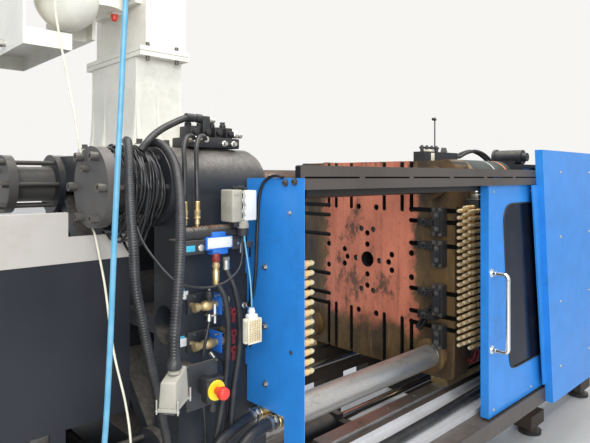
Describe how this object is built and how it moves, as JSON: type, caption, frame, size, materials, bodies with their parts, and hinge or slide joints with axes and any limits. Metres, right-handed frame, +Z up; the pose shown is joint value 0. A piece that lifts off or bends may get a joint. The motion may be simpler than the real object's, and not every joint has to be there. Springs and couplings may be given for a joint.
{
  "type": "injection moulding machine",
  "caption": "Hydraulic injection moulding machine, mould space and safety door open, with sliding clamp, ejector, injection carriage and a vertical second injection unit.",
  "frame": {"origin": "floor level under the machine axis, in the plane of the fixed platen's mould face, which is at half the machine's length", "axes": "+X along the machine towards the clamp side, +Y away from the operator, +Z up"},
  "size_m": [7.4, 2.2681, 3.72],
  "materials": {
    "bed_paint": "worn brown-black paint with oil film",
    "black_steel": "black paint, semi-matt",
    "ground_steel": "ground",
    "black_casting": "black painted casting, dusty on top",
    "grey_steel": "dusty grey",
    "bolt_steel": "blackened, worn",
    "chromed_bar": "hard chromed, oily",
    "blue_paint": "smooth bright blue powder coat",
    "brown_paint": "dark brown-grey powder coat",
    "pale_steel": "pale sheet, wet",
    "white_paint": "white paint, cream shade",
    "valve_grey": "dusty dark grey",
    "brass": "dull brass",
    "black_plastic": "matt",
    "grey_aluminium": "painted die casting",
    "grey_paint": "anthracite with a light warm grey band",
    "platen_face": "salmon red coat, stained olive brown",
    "bronze": "bronze",
    "tinted_window": "dark tinted",
    "handle_chrome": "polished",
    "barrel_steel": "heater band steel",
    "red_plastic": "gloss red",
    "ivory_plastic": "ivory",
    "black_conduit": "corrugated",
    "black_rubber": "semi-matt",
    "blue_hose": "light blue",
    "white_cable": "cream"
  },
  "bodies": {
    "machine_base": {"bed_frame": "bed_paint", "machine_feet": "black_steel", "guide_rails": "ground_steel", "fixed_platen": "black_casting", "cylinder_caps": "grey_steel", "cap_bolts": "bolt_steel", "tie_bars": "chromed_bar", "traverse_barrels": "black_steel", "front_post": "blue_paint", "top_rails": "brown_paint", "lower_beams": "brown_paint", "front_cover": "blue_paint", "rear_cover": "blue_paint", "drip_tray": "pale_steel", "pedestal": "white_paint", "valve_block": "valve_grey", "ball_valves": "brass", "estop_box": "black_plastic", "connector_box": "grey_aluminium", "drum_manifold": "black_steel", "fixed_water_manifold": "brass", "barrel_guard": "grey_paint", "hood_connector": "grey_aluminium", "plug_insert": "ivory_plastic", "conduit_a": "black_conduit", "conduit_b": "black_conduit", "sensor_cable": "black_rubber", "plug_cord": "blue_hose", "air_hose": "blue_hose", "white_cable": "white_cable", "manifold_hoses": "black_rubber", "valve_hoses": "black_rubber", "oil_hoses": "black_rubber", "floor_hose": "black_rubber", "cable_coil": "black_rubber"},
    "moving_platen": {"moving_platen": "platen_face", "platen_shoes": "bronze", "traverse_rods": "chromed_bar", "lock_housings": "black_casting", "mould_clamps": "black_steel", "moving_water_manifold": "brass", "ejector_cylinders": "grey_steel"},
    "lock_front": {"lock_halves_front": "ground_steel"},
    "lock_rear": {"lock_halves_rear": "ground_steel"},
    "ejector": {"ejector_plate": "ground_steel"},
    "front_door": {"front_door": "blue_paint", "front_window": "tinted_window", "front_handle": "handle_chrome"},
    "rear_door": {"rear_door": "blue_paint"},
    "injection_carriage": {"carriage": "grey_paint", "barrel": "barrel_steel", "hopper": "blue_paint"},
    "hopper_lid": {"hopper_lid": "blue_paint"},
    "drive": {"drive_unit": "grey_paint"},
    "screw": {"screw": "ground_steel"},
    "vertical_carriage": {"vertical_carriage": "white_paint"},
    "estop_button": {"estop_button": "red_plastic"},
    "valve_lever_1": {"valve_lever_1": "red_plastic"},
    "valve_lever_2": {"valve_lever_2": "red_plastic"},
    "valve_lever_3": {"valve_lever_3": "red_plastic"}
  },
  "joints": [
    {"name": "clamp_slide", "type": "slide", "parent": "machine_base", "child": "moving_platen", "axis": [1, 0, 0], "range_m": [-0.9, 0.09]},
    {"name": "lock_front_slide", "type": "slide", "parent": "moving_platen", "child": "lock_front", "axis": [0, 1, 0], "range_m": [0, 0.032]},
    {"name": "lock_rear_slide", "type": "slide", "parent": "moving_platen", "child": "lock_rear", "axis": [0, -1, 0], "range_m": [0, 0.032]},
    {"name": "ejector_slide", "type": "slide", "parent": "moving_platen", "child": "ejector", "axis": [-1, 0, 0], "range_m": [0, 0.1]},
    {"name": "front_door_slide", "type": "slide", "parent": "machine_base", "child": "front_door", "axis": [-1, 0, 0], "range_m": [0, 1.325]},
    {"name": "rear_door_slide", "type": "slide", "parent": "machine_base", "child": "rear_door", "axis": [-1, 0, 0], "range_m": [0, 1.325]},
    {"name": "carriage_slide", "type": "slide", "parent": "machine_base", "child": "injection_carriage", "axis": [-1, 0, 0], "range_m": [0, 0.4]},
    {"name": "hopper_lid_hinge", "type": "hinge", "parent": "injection_carriage", "child": "hopper_lid", "pos_m": [-1.7, 0.29, 2.394], "axis": [-1, 0, 0], "range_deg": [0, 100]},
    {"name": "injection_stroke", "type": "slide", "parent": "injection_carriage", "child": "drive", "axis": [1, 0, 0], "range_m": [0, 0.3]},
    {"name": "screw_turn", "type": "hinge", "parent": "drive", "child": "screw", "pos_m": [-2.5, 0, 1.32], "axis": [1, 0, 0], "continuous": true},
    {"name": "vertical_slide", "type": "slide", "parent": "machine_base", "child": "vertical_carriage", "axis": [0, 0, 1], "range_m": [0, 0.25]},
    {"name": "estop_press", "type": "slide", "parent": "machine_base", "child": "estop_button", "axis": [0, 1, 0], "range_m": [0, 0.006], "stiffness_N_per_m": 600},
    {"name": "valve_lever_1_turn", "type": "hinge", "parent": "machine_base", "child": "valve_lever_1", "pos_m": [-0.225, -0.726, 1.386], "axis": [0, -1, 0], "range_deg": [0, 90]},
    {"name": "valve_lever_2_turn", "type": "hinge", "parent": "machine_base", "child": "valve_lever_2", "pos_m": [-0.225, -0.726, 1.31], "axis": [0, -1, 0], "range_deg": [0, 90]},
    {"name": "valve_lever_3_turn", "type": "hinge", "parent": "machine_base", "child": "valve_lever_3", "pos_m": [-0.225, -0.726, 1.25], "axis": [0, -1, 0], "range_deg": [0, 90]}
  ],
  "couplings": [
    {"joint": "lock_rear_slide", "follows": "lock_front_slide", "ratio": 1}
  ]
}
